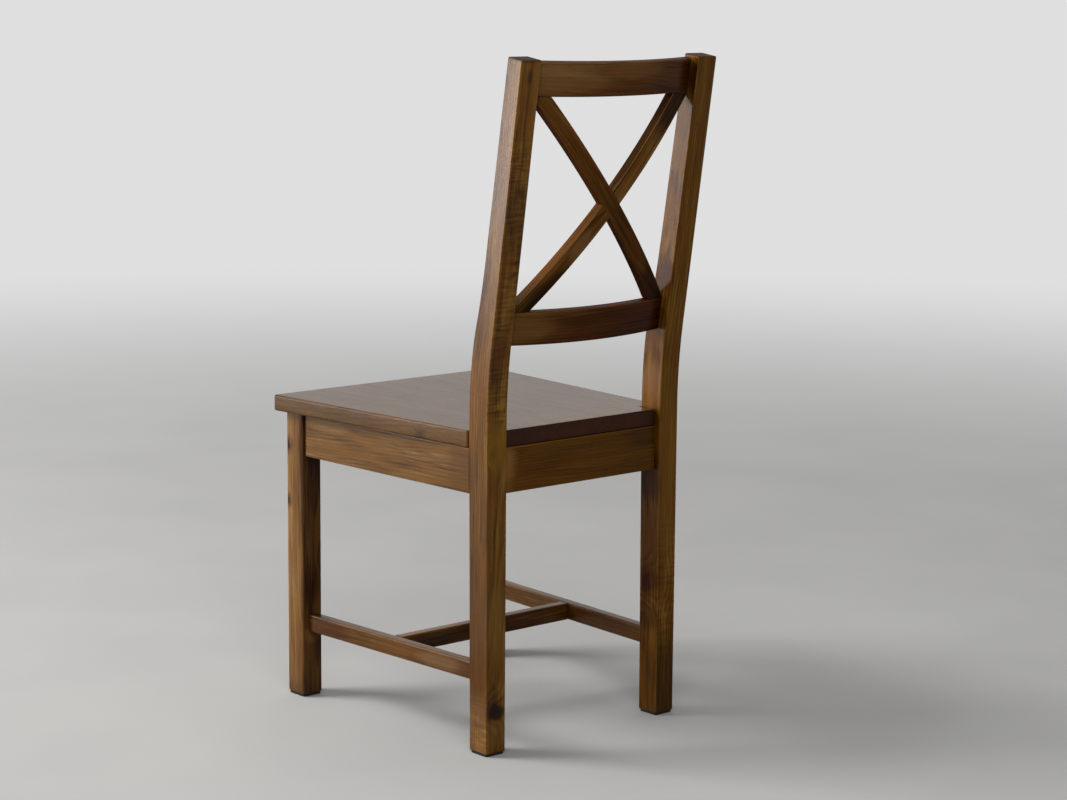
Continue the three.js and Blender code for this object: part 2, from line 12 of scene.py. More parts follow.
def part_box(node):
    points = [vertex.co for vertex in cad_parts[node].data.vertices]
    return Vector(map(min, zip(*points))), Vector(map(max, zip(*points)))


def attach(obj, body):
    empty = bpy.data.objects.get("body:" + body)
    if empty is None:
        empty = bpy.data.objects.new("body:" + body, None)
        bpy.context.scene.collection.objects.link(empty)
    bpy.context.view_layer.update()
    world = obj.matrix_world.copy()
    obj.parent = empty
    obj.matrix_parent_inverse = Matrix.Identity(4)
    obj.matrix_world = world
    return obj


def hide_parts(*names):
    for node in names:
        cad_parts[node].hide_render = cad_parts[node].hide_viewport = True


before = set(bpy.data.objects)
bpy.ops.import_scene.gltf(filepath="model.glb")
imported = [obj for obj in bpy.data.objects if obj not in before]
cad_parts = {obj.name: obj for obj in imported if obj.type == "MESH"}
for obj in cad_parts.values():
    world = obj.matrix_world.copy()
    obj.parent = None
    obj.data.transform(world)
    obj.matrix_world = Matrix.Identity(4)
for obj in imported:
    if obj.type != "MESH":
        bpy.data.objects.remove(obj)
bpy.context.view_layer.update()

# ---------------------------------------------------------------- rear posts
# Leg and stile of each side are one stick of pine, sawn to a soft bend above the seat and thinned
# towards the top, which is cut square to the rake. The arrises are eased by hand, and the wood is
# stained walnut under a satin coat.
JOINT = 0.0003                   # play between pieces that touch
POST_DEPTH = 0.041               # at the seat
FOOT_TAPER = 0.004               # the leg thins towards the floor by this, on its front face
POST_EASE = 0.002
RAKE = math.radians(8.5)
REAR_BEND = 0.525                # height at which the straight rear faces of leg and stile would meet
REAR_BEND_ENDS = (REAR_BEND - 0.063, REAR_BEND + 0.063)
FRONT_SWEEP = math.radians(15)
FRONT_SWEEP_BEND = (0.471, 0.556, 0.615)
FRONT_RAKE = math.radians(9.3)
FRONT_RAKE_BEND = (0.615, 0.652, 0.712)
BENT_PART = (0.44, 0.74)         # heights between which the stick is bent
TOP_CUT_REACH = 0.06             # the square cut at the top moves the stick down to this far under it
SAWN_REACH = 0.002               # how far from a sawn end its end grain shows
SHARP_EDGE = math.radians(40)

post_low, post_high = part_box("left_rear_post")
post_inner = post_low.x
post_front = post_low.y
post_rear = post_front + POST_DEPTH
post_top = post_high.z
seat_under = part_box("seat_board_centre")[0].z


def stile_rear(height):
    """Depth of the straight rear face above the bend, drawn on past its end."""
    return post_rear + math.tan(RAKE) * (height - REAR_BEND)


def swept_front(height):
    return post_front + math.tan(FRONT_SWEEP) * (height - FRONT_SWEEP_BEND[1])


def stile_front(height):
    corner = FRONT_RAKE_BEND[1]
    return swept_front(corner) + math.tan(FRONT_RAKE) * (height - corner)


def soft_bend(height, start, corner, end):
    """Depth at a height on the soft bend between two straight faces, from (depth, height) points."""
    curve = start[1] - 2 * corner[1] + end[1]
    rise = 2 * (corner[1] - start[1])
    drop = start[1] - height
    share = -drop / rise
    if abs(curve) > 1e-9:
        share = (-rise + math.sqrt(rise * rise - 4 * curve * drop)) / (2 * curve)
    straight = 1 - share
    return start[0] * straight ** 2 + 2 * corner[0] * share * straight + end[0] * share ** 2


def rear_face(height):
    """Depth of a post's rear face at a height."""
    start, end = REAR_BEND_ENDS
    if height < start:
        return post_rear
    if height > end:
        return stile_rear(height)
    return soft_bend(height, (post_rear, start), (post_rear, REAR_BEND), (stile_rear(end), end))


def front_face(height):
    """Depth of a post's front face at a height."""
    if height < FRONT_SWEEP_BEND[0]:
        return post_front + FOOT_TAPER * max(0.0, 1 - height / seat_under)
    if height > FRONT_RAKE_BEND[2]:
        return stile_front(height)
    if height < FRONT_SWEEP_BEND[2]:
        start, corner, end = FRONT_SWEEP_BEND
        return soft_bend(height, (post_front, start), (post_front, corner), (swept_front(end), end))
    start, corner, end = FRONT_RAKE_BEND
    return soft_bend(
        height, (swept_front(start), start), (swept_front(corner), corner), (stile_front(end), end))


def new_wood():
    """An empty mesh with room for its grain, its rubbed and highlit arrises and its sawn ends."""
    wood = bmesh.new()
    wood.verts.layers.float_vector.new("grain")
    wood.verts.layers.float.new("worn")
    wood.verts.layers.float.new("sawn")
    return wood


def plank(low, high):
    """A square-edged piece of wood between two corners."""
    wood = new_wood()
    bmesh.ops.create_cube(wood, size=1.0)
    low = Vector(low)
    high = Vector(high)
    bmesh.ops.scale(wood, vec=high - low, verts=wood.verts)
    bmesh.ops.translate(wood, vec=(high + low) / 2, verts=wood.verts)
    return wood


def ease(wood, edges, width, segments=3):
    """Rounds arrises and marks them for rubbing and a painted highlight."""
    worn = wood.verts.layers.float["worn"]
    rounding = bmesh.ops.bevel(
        wood, geom=edges, offset=width, offset_type="OFFSET", affect="EDGES", segments=segments,
        profile=0.5, clamp_overlap=True, material=-1)
    arris = set(rounding["faces"])
    for vertex in rounding["verts"]:
        if all(face in arris for face in vertex.link_faces):
            vertex[worn] = 1.0


def cut(wood, point, normal, nearness=1e-6, clear_outer=False):
    """Splits all faces along a plane, and takes away what lies beyond it if asked."""
    everything = wood.verts[:] + wood.edges[:] + wood.faces[:]
    bmesh.ops.bisect_plane(
        wood, geom=everything, dist=nearness, plane_co=point, plane_no=normal, clear_outer=clear_outer)


def score(wood, axis, places):
    """Adds lines square across a piece, at which it can then bend."""
    normal = [0.0, 0.0, 0.0]
    normal[axis] = 1.0
    for place in places:
        cut(wood, [place * part for part in normal], normal)


def steps(start, end, length):
    """Places between two ends, at most a length apart."""
    count = math.ceil((end - start) / length)
    return [start + (end - start) * i / count for i in range(1, count)]


def mark_grain(wood, along, origin=(0.0, 0.0, 0.0)):
    """Stores how far along, across and through the straight stock each point lies, and its sawn ends."""
    grain = wood.verts.layers.float_vector["grain"]
    sawn = wood.verts.layers.float["sawn"]
    others = [axis for axis in (0, 1, 2) if axis != along]
    ends = [pick(vertex.co[along] for vertex in wood.verts) for pick in (min, max)]
    for vertex in wood.verts:
        place = vertex.co - Vector(origin)
        vertex[grain] = (place[along], place[others[0]], place[others[1]])
        to_end = min(abs(vertex.co[along] - end) for end in ends)
        vertex[sawn] = max(0.0, 1 - to_end / SAWN_REACH)


def dress(wood, node, material):
    """Turns the shaped wood into the piece that stands for a CAD node."""
    bmesh.ops.recalc_face_normals(wood, faces=wood.faces)
    for face in wood.faces:
        face.smooth = True
    for edge in wood.edges:
        edge.smooth = edge.calc_face_angle(0.0) < SHARP_EDGE
    mesh = bpy.data.meshes.new(node + "_wood")
    wood.to_mesh(mesh)
    wood.free()
    mesh.materials.append(material)
    piece = bpy.data.objects.new(node + "_wood", mesh)
    bpy.context.scene.collection.objects.link(piece)
    even = piece.modifiers.new("even_shine", "WEIGHTED_NORMAL")
    even.mode = "FACE_AREA"
    even.weight = 60
    even.keep_sharp = True
    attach(piece, "root")
    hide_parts(node)


class Signal:
    """A number that varies over a surface; arithmetic on it becomes Math nodes."""

    def __init__(self, finish, socket):
        self.finish = finish
        self.socket = socket

    def __add__(self, other):
        return self.finish.maths("ADD", self, other)

    def __radd__(self, other):
        return self.finish.maths("ADD", other, self)

    def __sub__(self, other):
        return self.finish.maths("SUBTRACT", self, other)

    def __rsub__(self, other):
        return self.finish.maths("SUBTRACT", other, self)

    def __mul__(self, other):
        return self.finish.maths("MULTIPLY", self, other)

    def __rmul__(self, other):
        return self.finish.maths("MULTIPLY", other, self)

    def __truediv__(self, other):
        return self.finish.maths("DIVIDE", self, other)

    def __pow__(self, other):
        return self.finish.maths("POWER", self, other)


class Finish:
    """The nodes of a material or a world. All of them come from node()."""

    def __init__(self, owner):
        self.owner = owner
        self.owner.use_nodes = True
        self.tree = self.owner.node_tree
        self.coat = self.tree.nodes.get("Principled BSDF")

    def node(self, kind, settings=None, sockets=None, output=0):
        made = self.tree.nodes.new(kind)
        for setting, value in (settings or {}).items():
            if setting == "stops":
                self.set_stops(made.color_ramp, value)
            else:
                setattr(made, setting, value)
        self.feed(made, sockets or {})
        return Signal(self, made.outputs[output])

    def feed(self, made, sockets):
        for socket, value in sockets.items():
            if isinstance(value, Signal):
                self.tree.links.new(value.socket, made.inputs[socket])
            else:
                made.inputs[socket].default_value = value

    def set_stops(self, ramp, stops):
        while len(ramp.elements) < len(stops):
            ramp.elements.new(0.5)
        for element, (place, colour) in zip(ramp.elements, stops):
            element.position = place
            element.color = colour

    def maths(self, operation, *values):
        return self.node("ShaderNodeMath", {"operation": operation}, dict(enumerate(values)))

    def vector(self, operation, *values, output=0):
        sockets = dict(enumerate(values))
        return self.node("ShaderNodeVectorMath", {"operation": operation}, sockets, output)

    def blend(self, share, first, second):
        return self.node("ShaderNodeMix", {"data_type": "RGBA"}, {0: share, 6: first, 7: second}, 2)

    def rise(self, value, start, end):
        """0 below start, 1 above end, and smooth between."""
        sockets = {"Value": value, "From Min": start, "From Max": end}
        return self.node("ShaderNodeMapRange", {"interpolation_type": "SMOOTHSTEP"}, sockets)

    def noise(self, place, size, detail=2.0, rough=0.5, shift=(0.0, 0.0, 0.0)):
        """Random mottle whose spots have the given size along, across and through the wood."""
        squeeze = [1 / length for length in size]
        spot = self.node("ShaderNodeMapping", None, {"Vector": place, "Location": shift, "Scale": squeeze})
        sockets = {"Vector": spot, "Scale": 1.0, "Detail": detail, "Roughness": rough}
        return self.node("ShaderNodeTexNoise", {"noise_dimensions": "3D"}, sockets)


def shade(code):
    """Linear colour of a hex code."""
    parts = [int(code[i:i + 2], 16) / 255 for i in (1, 3, 5)]
    return [*(p / 12.92 if p <= 0.04045 else ((p + 0.055) / 1.055) ** 2.4 for p in parts), 1.0]


RING_WIDTH = 0.0047
PITH_WANDER = 0.022
RIPPLE_FADE = 0.03
GRAIN_RELIEF = 0.00015
KNOT_HALO = "#3c1606"
KNOT_HEART = "#250b03"


def stained_pine(
        name, tones, pith, seed, knots=(), tilt=(0.0, 0.0), honey=0.5, ripples=(), figure=1.0,
        drift=(0.0, 0.0, 0.0), matt=0.25, shine=0.14, wear_and_highlight=0.3, faces=(), patches=()):
    """Walnut-stained pine. `tones` run from the darkest streak to the lightest, then the warm blush.

    `pith` is the tree's centre across and through the stick, `tilt` how it leans, and `knots` are
    (place, radius, axis). `honey` is how much of the blush shows, and `figure` how strong the streaks
    are. `ripples` are bands of curly figure on one face (start, end, strength, axis, depth of the
    face), and `drift` is how the stain lightens along, across and through the stick; on some pieces
    it is painted light and shade instead. `matt` is how rough the satin coat is, `shine` how much it
    reflects, and `wear_and_highlight` how far the arrises are painted lighter, for rubbing and as a
    painted highlight. `faces` make one face lighter or darker and duller (axis, depth, change,
    dulling); on some pieces that is painted shade and painted light. `patches` are spots of another
    colour (place, reach, colour, strength), some of them painted shade, shadow, sheen and highlight.
    """
    pine = Finish(bpy.data.materials.new(name))
    grain = pine.node("ShaderNodeAttribute", {"attribute_name": "grain"}, None, "Vector")
    worn = pine.node("ShaderNodeAttribute", {"attribute_name": "worn"}, None, "Fac")
    sawn = pine.node("ShaderNodeAttribute", {"attribute_name": "sawn"}, None, "Fac")
    shift = (seed * 3.1, seed * 7.7, seed * 5.3)

    # growth rings round the pith, which wanders and leans a little, and swells round each knot
    turned = pine.node("ShaderNodeMapping", None, {
        "Vector": grain, "Location": (0.0, -pith[0], -pith[1]), "Rotation": (0.0, tilt[0], tilt[1])})
    radius = pine.vector("LENGTH", pine.vector("MULTIPLY", turned, (0.0, 1.0, 1.0)), output="Value")
    wander = pine.noise(grain, (0.24, 0.05, 0.05), 2.0, 0.5, shift)
    radius = radius + (wander - 0.5) * PITH_WANDER
    ragged = (pine.noise(grain, (0.008, 0.004, 0.004), 2.0, 0.6, shift) - 0.5) * 1.6
    heart = halo = None
    for place, size, axis in knots:
        squash = [0.8, 1.0, 1.0]
        squash[axis] = 0.3
        offset = pine.vector("SUBTRACT", grain, place)
        distance = pine.vector("LENGTH", pine.vector("MULTIPLY", offset, squash), output="Value") / size
        bark = 1 - pine.rise(distance + ragged, 0.4, 1.2)
        stained = 1 - pine.rise(distance + ragged, 0.7, 3.0)
        radius = radius + pine.maths("EXPONENT", (distance / 2.4) ** 2 * -1) * size * 1.6
        heart = bark if heart is None else pine.maths("MAXIMUM", heart, bark)
        halo = stained if halo is None else pine.maths("MAXIMUM", halo, stained)
    ring = pine.maths("FRACT", radius / RING_WIDTH)
    late = pine.rise(ring, 0.35, 0.86) * (1 - pine.rise(ring, 0.9, 1.0))

    # fibres, pores and the uneven take-up of the stain
    streak = pine.noise(grain, (0.11, 0.0028, 0.0028), 3.0, 0.6, shift)
    fibre = pine.noise(grain, (0.03, 0.0008, 0.0008), 2.0, 0.6, shift)
    pore = pine.rise(pine.noise(grain, (0.009, 0.0007, 0.0007), 1.0, 0.5, shift), 0.58, 0.72)
    blotch = pine.noise(grain, (0.14, 0.018, 0.018), 3.0, 0.55, shift)
    blush_shift = [part + 4 for part in shift]
    blush = pine.rise(pine.noise(grain, (0.09, 0.011, 0.011), 1.0, 0.5, blush_shift), 0.4, 0.62)
    tone = (streak - 0.5) * 0.65 + (fibre - 0.5) * 0.6 + (blotch - 0.5) - (late - 0.3) * 0.2 - pore * 0.16
    tone = tone * figure + 0.5 + pine.vector("DOT_PRODUCT", grain, drift, output="Value")
    height = streak * 0.4 + fibre * 0.25 + late * 0.25 - pore * 0.3
    parts = [pine.node("ShaderNodeSeparateXYZ", None, {0: grain}, part) for part in "XYZ"]
    rough = matt + (streak - 0.5) * 0.18 + (fibre - 0.5) * 0.12 + worn * 0.05 + sawn * 0.25

    # what belongs to one face alone
    for axis, depth, change, dull in faces:
        outward = parts[axis] * math.copysign(1.0, depth)
        face = pine.rise(outward, abs(depth) - 0.0015, abs(depth) - 0.0002)
        tone = tone + face * change
        rough = rough + face * dull
    if ripples:
        curl = pine.noise(grain, (0.004, 0.035, 0.035), 1.0, 0.4, shift) - 0.5
    for start, end, strength, axis, depth in ripples:
        begun = pine.rise(parts[0], start - RIPPLE_FADE, start + RIPPLE_FADE)
        ended = pine.rise(parts[0], end - RIPPLE_FADE, end + RIPPLE_FADE)
        band = begun * (1 - ended)
        wave = curl * band * pine.rise(parts[axis], depth - 0.004, depth) * strength
        tone = tone + wave
        height = height + wave * 0.3

    # stain, knots, arrises rubbed lighter and given a painted highlight, end grain, and last the patches
    # over them all
    darkest, dark, middle, light, warm = [shade(code) for code in tones]
    stops = [(0.05, darkest), (0.3, dark), (0.52, middle), (0.8, light)]
    colour = pine.node("ShaderNodeValToRGB", {"stops": stops}, {"Fac": tone})
    colour = pine.blend(blush * honey, colour, warm)
    if knots:
        colour = pine.blend(halo * 0.7, colour, shade(KNOT_HALO))
        colour = pine.blend(heart * 0.85, colour, shade(KNOT_HEART))
    # arrises lightened, partly as rubbing and partly as a painted highlight where they catch the light
    colour = pine.blend(worn * (pine.rise(streak, 0.35, 0.65) + 0.5) * wear_and_highlight, colour, light)
    end_grain = pine.blend(late * 0.45 + pine.rise(blotch, 0.35, 0.65) * 0.5, dark, darkest)
    colour = pine.blend(sawn * 0.92, colour, end_grain)
    for place, reach, patch, strength in patches:
        offset = pine.vector("DIVIDE", pine.vector("SUBTRACT", grain, place), reach)
        ragged_edge = (streak - 0.5) * 0.5 + (blotch - 0.5) * 0.5
        away = pine.vector("LENGTH", offset, output="Value") + ragged_edge
        cover = (1 - pine.rise(away, 0.45, 1.0)) * (1 - worn * 0.6) * strength
        colour = pine.blend(cover, colour, shade(patch))

    relief = {"Strength": 0.3, "Distance": GRAIN_RELIEF, "Height": height}
    bump = pine.node("ShaderNodeBump", None, relief)
    pine.feed(pine.coat, {
        "Base Color": colour, "Roughness": rough, "Normal": bump, "Specular IOR Level": shine})
    return pine.owner


POST_SIDE = 0.0185               # where the patches of a side face lie, from the centre line
POST_BACK = POST_DEPTH / 2       # where those of the rear face lie


def on_side(height, length, colour, strength, width=0.05):
    """A patch across the left side of a post."""
    return (height, POST_SIDE, 0.0), (length, 0.008, width), colour, strength


def on_back(height, length, colour, strength):
    """A patch across the rear face of a post."""
    return (height, 0.0, POST_BACK), (length, 0.03, 0.01), colour, strength


top_drop = (stile_rear(post_top) - stile_front(post_top)) * math.tan(RAKE) * math.cos(RAKE) ** 2
posts = {
    "left": {
        "tones": ["#241001", "#4d2e06", "#6e4910", "#946c28", "#74420c"],
        "pith": (0.03, -0.05),
        "seed": 1.0,
        "drift": (0.0, -4.0, 3.0),
        "ripples": [(0.46, 0.86, 0.8, 2, 0.0185), (0.0, 0.07, 1.4, 1, 0.0165)],
        "knots": [((0.0665, 0.003, POST_BACK), 0.008, 2), ((0.43, 0.007, POST_BACK), 0.004, 2)],
        "patches": [
            ((0.952, 0.001, POST_BACK), (0.012, 0.006, 0.02), "#2c1602", 0.6),
            on_back(0.44, 0.045, "#8c6414", 0.55),
            on_back(0.19, 0.07, "#84602a", 0.45),
            on_side(0.16, 0.12, "#4c2c12", 0.5, 0.04),
            on_side(0.02, 0.08, "#94704e", 0.3, 0.06),
            # a painted sheen, greyish, on the lower side face
            on_side(0.29, 0.2, "#644e3a", 0.22, 0.06),
            on_back(0.757, 0.06, "#40260a", 0.45),
            on_back(0.56, 0.05, "#4a2a0a", 0.35),
            ((0.976, 0.0, 0.0), (0.006, 0.06, 0.06), "#1c1014", 0.55),
            on_back(0.032, 0.03, "#86602c", 0.4),
            ((0.062, -0.001, POST_BACK), (0.014, 0.021, 0.01), "#1e0c03", 0.85)],
    },
    "right": {
        "tones": ["#241001", "#4c2d06", "#6b470f", "#8e6626", "#70400c"],
        "pith": (-0.045, -0.03),
        "seed": 2.0,
        "drift": (0.0, -2.0, 0.0),
        "ripples": [(0.1, 0.3, 0.5, 2, 0.0185)],
        "knots": [((0.2, 0.0175, -0.006), 0.011, 1)],
        # the inner side face is painted darker, as shade
        "faces": [(1, POST_SIDE, -0.12, 0.0), (2, 0.0185, 0.06, 0.0)],
        "shine": 0.08,
        # The dark patches on the inner side face are painted shade: under the seat, round the lower rail
        # and the brace's foot, and near the crest rail. The light one at 0.5 is painted light between
        # them.
        "patches": [
            on_side(0.36, 0.05, "#2a0e03", 0.75),
            on_side(0.25, 0.11, "#2e0c02", 0.5),
            on_side(0.565, 0.045, "#4c2e1a", 0.45),
            on_side(0.655, 0.036, "#3a1a0a", 0.75),
            on_side(0.5, 0.04, "#8e6a4c", 0.2),
            on_side(0.45, 0.02, "#240a04", 0.4),
            on_side(0.15, 0.03, "#2a0c02", 0.55),
            on_side(0.89, 0.05, "#4c3024", 0.45),
            ((0.945, POST_SIDE, 0.013), (0.04, 0.003, 0.03), "#2a0e06", 0.85),
            on_back(0.28, 0.06, "#7c5626", 0.4),
            on_side(0.0, 0.12, "#4a2c0e", 0.5),
            on_back(0.4, 0.14, "#7c5418", 0.45),
            on_back(0.03, 0.13, "#2c1402", 0.65)],
    },
}
for side in ("left", "right"):
    low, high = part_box(f"{side}_rear_post")
    stick = plank((low.x, post_front, low.z), (high.x, post_rear, high.z))
    ease(stick, stick.edges[:], POST_EASE)
    leg_steps = steps(low.z, BENT_PART[0], 0.06)
    stile_steps = steps(BENT_PART[1], post_top - 0.01, 0.03)
    score(stick, 2, leg_steps + steps(*BENT_PART, 0.01) + stile_steps)
    mark_grain(stick, 2, ((low.x + high.x) / 2, post_front + POST_DEPTH / 2, 0.0))
    for vertex in stick.verts:
        to_rear = (vertex.co.y - post_front) / POST_DEPTH
        vertex.co.z -= top_drop * to_rear * max(0.0, 1 - (post_top - vertex.co.z) / TOP_CUT_REACH)
        front = front_face(vertex.co.z)
        vertex.co.y = front + to_rear * (rear_face(vertex.co.z) - front)
    pine = stained_pine(f"{side}_post_pine", **posts[side], tilt=(0.03, 0.05), figure=0.88, wear_and_highlight=0.15)
    dress(stick, f"{side}_rear_post", pine)

# ---------------------------------------------------------------- rails of the back
# The crest rail and the lower rail are pine planks bowed to the rear on one curve, and they lean
# with the stiles. Their ends are tenoned into the posts.
RAIL_HEIGHT = 0.0475
RAIL_THICKNESS = 0.015
RAIL_BOW = 0.017
RAIL_SETBACK = 0.0145            # the ends' rear faces in front of the posts' rear faces
CREST_DROP = 0.005               # top of the crest rail under the top of the posts
LOWER_RAIL_RISE = 0.052          # underside of the lower rail above the bend, along the stile
BOARD_EASE = 0.0022

lean = Matrix.Translation((0.0, post_rear, REAR_BEND)) @ Matrix.Rotation(-RAKE, 4, "X")
rail_end = post_inner - JOINT
rail_radius = (rail_end ** 2 + RAIL_BOW ** 2) / (2 * RAIL_BOW)
rail_centre = RAIL_BOW - RAIL_SETBACK - rail_radius
crest_bottom = (post_top - top_drop - REAR_BEND) / math.cos(RAKE) - CREST_DROP - RAIL_HEIGHT
lower_top = LOWER_RAIL_RISE + RAIL_HEIGHT


def bow(wood, centre, radius):
    """Bends a straight strip whose rear face lies at y = 0 round an upright axis."""
    for vertex in wood.verts:
        vertex.co.y = centre + math.sqrt((radius + vertex.co.y) ** 2 - vertex.co.x ** 2)


# dark at the right end, by the right post: painted shade
shaded_end = ((-0.17, 0.0, 0.0), (0.06, 0.03, 0.04), "#1c0602", 0.6)
rails = {
    "crest_rail": {
        "tones": ["#180500", "#3a1a04", "#5e3b15", "#8a6840", "#64360e"],
        "pith": (0.02, -0.03),
        "seed": 3.0,
        "patches": [
            shaded_end,
            # the light patches on the rails are painted highlights
            ((0.08, 0.0, -0.002), (0.09, 0.03, 0.02), "#a27a4a", 0.22),
            ((-0.03, 0.0, 0.012), (0.07, 0.03, 0.016), "#9a6e3c", 0.3)],
    },
    "lower_back_rail": {
        "tones": ["#140400", "#331502", "#4e2c08", "#745224", "#56220a"],
        "pith": (0.03, 0.04),
        "seed": 4.0,
        # painted shade at the right end and a painted highlight towards the left
        "patches": [shaded_end, ((0.13, 0.0, -0.002), (0.08, 0.03, 0.02), "#a27a4a", 0.22)],
    },
}
for name, bottom in (("crest_rail", crest_bottom), ("lower_back_rail", LOWER_RAIL_RISE)):
    strip = plank((-rail_end, -RAIL_THICKNESS, bottom), (rail_end, 0.0, bottom + RAIL_HEIGHT))
    ease(strip, strip.edges[:], BOARD_EASE)
    score(strip, 0, steps(-rail_end, rail_end, 0.007))
    mark_grain(strip, 0, (0.0, 0.0, bottom + RAIL_HEIGHT / 2))
    bow(strip, rail_centre, rail_radius)
    bmesh.ops.transform(strip, matrix=lean, verts=strip.verts)
    # the drift lightens the rails towards their left ends as painted light, darkens them towards the right
    # as painted shade, and lightens them upwards
    pine = stained_pine(
        f"{name}_pine", **rails[name], tilt=(0.02, 0.02), figure=0.42, drift=(1.5, 0.0, 3.0),
        shine=0.06, faces=[(2, RAIL_HEIGHT / 2, -0.3, 0.2)])
    dress(strip, name, pine)

# ---------------------------------------------------------------- crossed braces
# Two bowed strips form the X. They run from corner to corner of the opening between the rails and
# are halved into each other where they cross: the left one lies whole at the rear.
BRACE_WIDTH = 0.0245
BRACE_THICKNESS = 0.015
BRACE_BOW = 0.022
BRACE_TOP_CLEARANCE = 0.0005     # side of a brace to the post's inner face, at the crest rail
BRACE_EASE = 0.0015
LAP_PLAY = 0.00015
LAP_WALL = 0.00005               # the lap's end walls lie within this length of the brace

half_width = BRACE_WIDTH / 2
opening = crest_bottom - lower_top
spread = 2 * post_inner - BRACE_TOP_CLEARANCE - JOINT
brace_slope = math.atan2(opening, spread) + math.asin(BRACE_WIDTH / math.hypot(spread, opening))
brace_cut = BRACE_WIDTH / math.sin(brace_slope)
brace_top = post_inner - BRACE_TOP_CLEARANCE - brace_cut / 2
brace_foot = post_inner - JOINT - brace_cut / 2
brace_length = opening / math.sin(brace_slope)
brace_end_rear = rail_centre + math.sqrt(rail_radius ** 2 - ((brace_top + brace_foot) / 2) ** 2)
brace_radius = ((brace_length / 2) ** 2 + BRACE_BOW ** 2) / (2 * BRACE_BOW)
brace_centre = brace_end_rear + BRACE_BOW - brace_radius
brace_shift = (brace_top - brace_foot) / 2
middle_height = (crest_bottom + lower_top) / 2
crossing = Vector((0.0, 0.0, middle_height - brace_shift * math.tan(brace_slope)))
half_length = brace_length / 2 + BRACE_WIDTH
braces = {
    "left_brace": {
        "tones": ["#160801", "#3c2208", "#5e3c14", "#7e5a2c", "#622e0a"],
        "drift": (0.5, 0.0, 0.0),
        # the face turned down and to the left is painted darker and duller, as shade
        "faces": [(2, -half_width, -0.35, 0.4)],
        "patches": [((-0.18, 0.0, 0.0), (0.07, 0.03, 0.03), "#1e0904", 0.6)],
    },
    "right_brace": {
        "tones": ["#1c0d02", "#50310e", "#7e5a28", "#a4804c", "#76420c"],
        "drift": (0.0, 10.0, 0.0),
        "patches": [
            ((-0.2, 0.0, 0.0), (0.1, 0.04, 0.04), "#1a0502", 0.85),
            ((-0.11, 0.0, half_width), (0.16, 0.04, 0.004), "#1c0803", 0.85),
            ((0.1, 0.0, half_width), (0.12, 0.04, 0.003), "#5c3214", 0.5),
            ((0.04, 0.0, -0.004), (0.05, 0.04, 0.012), "#5c2c0a", 0.4),
            ((0.17, 0.0, -0.008), (0.09, 0.04, 0.012), "#1c0a03", 0.8),
            ((0.19, 0.0, 0.0), (0.055, 0.04, 0.04), "#1c0a03", 0.55),
            ((0.07, 0.0, 0.0), (0.03, 0.04, 0.01), "#a0764a", 0.35)],
    },
}
for name, sign in (("left_brace", 1), ("right_brace", -1)):
    strip = plank((-half_length, -BRACE_THICKNESS, -half_width), (half_length, 0.0, half_width))
    ease(strip, strip.edges[:], BRACE_EASE)
    score(strip, 0, steps(-half_length, half_length, 0.01))
    mark_grain(strip, 0)
    bow(strip, brace_centre, brace_radius)
    # each brace rises to the post of its own side, and is cut level with both rails
    turn = Matrix.Rotation(-sign * brace_slope, 4, "Y")
    raised = Matrix.Translation((sign * brace_shift, 0.0, middle_height)) @ turn
    bmesh.ops.transform(strip, matrix=raised, verts=strip.verts)
    for height, outward in ((lower_top + JOINT, -1.0), (crest_bottom - JOINT, 1.0)):
        cut(strip, (0.0, 0.0, height), (0.0, 0.0, outward), clear_outer=True)
        rim = [edge for edge in strip.edges if edge.is_boundary]
        bmesh.ops.holes_fill(strip, edges=rim, sides=0)
    # the half lap: between the other brace's sides, only half the thickness is left
    across = Matrix.Rotation(sign * brace_slope, 4, "Y") @ Vector((0.0, 0.0, 1.0))
    lap = half_width + LAP_PLAY
    for reach in (-lap - LAP_WALL, -lap, lap, lap + LAP_WALL):
        cut(strip, crossing + across * reach, across, 1e-7)
    grain = strip.verts.layers.float_vector["grain"]
    left_over = 0.5 - LAP_PLAY / BRACE_THICKNESS
    for vertex in strip.verts:
        if abs((vertex.co - crossing).dot(across)) > lap + LAP_WALL / 2:
            continue
        along, depth = vertex[grain][:2]
        if sign == 1:
            depth = depth * left_over
        else:
            depth = (depth + BRACE_THICKNESS) * left_over - BRACE_THICKNESS
        vertex.co.y = brace_centre + math.sqrt((brace_radius + depth) ** 2 - along ** 2)
    bmesh.ops.transform(strip, matrix=lean, verts=strip.verts)
    pine = stained_pine(
        f"{name}_pine", **braces[name], pith=(0.03, 0.02 * sign), seed=5.0 + sign, tilt=(0.01, 0.02),
        honey=0.45, figure=0.6, shine=0.03, wear_and_highlight=0.5)
    dress(strip, name, pine)

# ---------------------------------------------------------------- front legs
# Straight square sticks of pine under the seat's front corners, stained like the posts. Two aprons
# and a stretcher are tenoned into each, and all arrises are eased.
LEG_EASE = 0.0028
LEG_FACE = 0.0165                # where the patches and knots of a face lie, from the centre line

